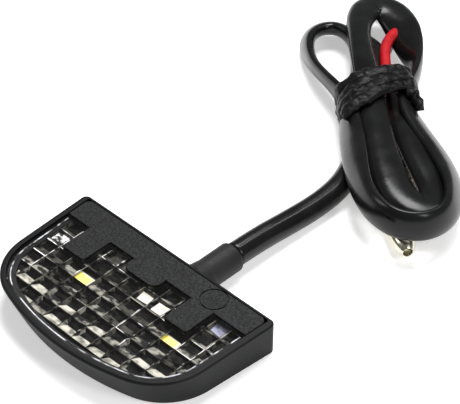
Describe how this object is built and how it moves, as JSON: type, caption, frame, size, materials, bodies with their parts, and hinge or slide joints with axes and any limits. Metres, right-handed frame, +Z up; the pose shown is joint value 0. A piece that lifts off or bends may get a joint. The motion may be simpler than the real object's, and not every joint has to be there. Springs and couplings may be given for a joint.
{
  "type": "LED marker lamp",
  "caption": "Half-moon LED lamp with a clear prismatic lens and dark mask, on a flexible sleeved lead tied in a hank with bullet connectors.",
  "frame": {"origin": "centre of the lamp body footprint, on the surface it lies on", "axes": "+Z up out of the lens, +X along the straight rear edge, +Y out of the rear wall along the lead"},
  "size_m": [0.0533, 0.1024, 0.0092],
  "materials": {
    "housing_abs": "satin black moulded plastic",
    "mask_plastic": "fine grained matte black",
    "lens_clear": "clear moulded lens plastic, polished",
    "weld_bead": "smooth",
    "board_black": "black solder mask",
    "potting_resin": "cured resin",
    "solder": "bright tin",
    "led_white": "white package",
    "phosphor": "yellow phosphor gel",
    "plated_tin": "tinned",
    "chip_black": "chip part body",
    "chip_tan": "ceramic chip body",
    "wire_red_pvc": "red insulation",
    "wire_black_pvc": "black insulation",
    "gland_rubber": "moulded rubber",
    "collar_matte": "matte shrink collar",
    "sleeve_pvc": "glossy flexible sleeve",
    "bullet_metal": "pale tin plate on brass",
    "tie_pvc": "wrinkled coated tie"
  },
  "bodies": {
    "root": {"bullet_black": "bullet_metal", "bullet_red": "bullet_metal", "cable_gland": "gland_rubber", "cable_hank": "sleeve_pvc", "cable_sleeve": "sleeve_pvc", "circuit_board": "board_black", "housing": "housing_abs", "inner_lead_black": "wire_black_pvc", "inner_lead_red": "wire_red_pvc", "led_left_body": "led_white", "led_left_phosphor": "phosphor", "led_left_terminals": "plated_tin", "led_right_body": "led_white", "led_right_phosphor": "phosphor", "led_right_terminals": "plated_tin", "lens": "lens_clear", "lens_seal": "weld_bead", "mask_plate": "mask_plastic", "polarity_diode": "chip_black", "potting_fill": "potting_resin", "series_resistor_left": "chip_black", "series_resistor_right": "chip_black", "solder_joints": "solder", "strain_collar": "collar_matte", "surge_capacitor": "chip_tan", "twist_tie": "tie_pvc", "wire_black": "wire_black_pvc", "wire_red": "wire_red_pvc"}
  },
  "joints": []
}
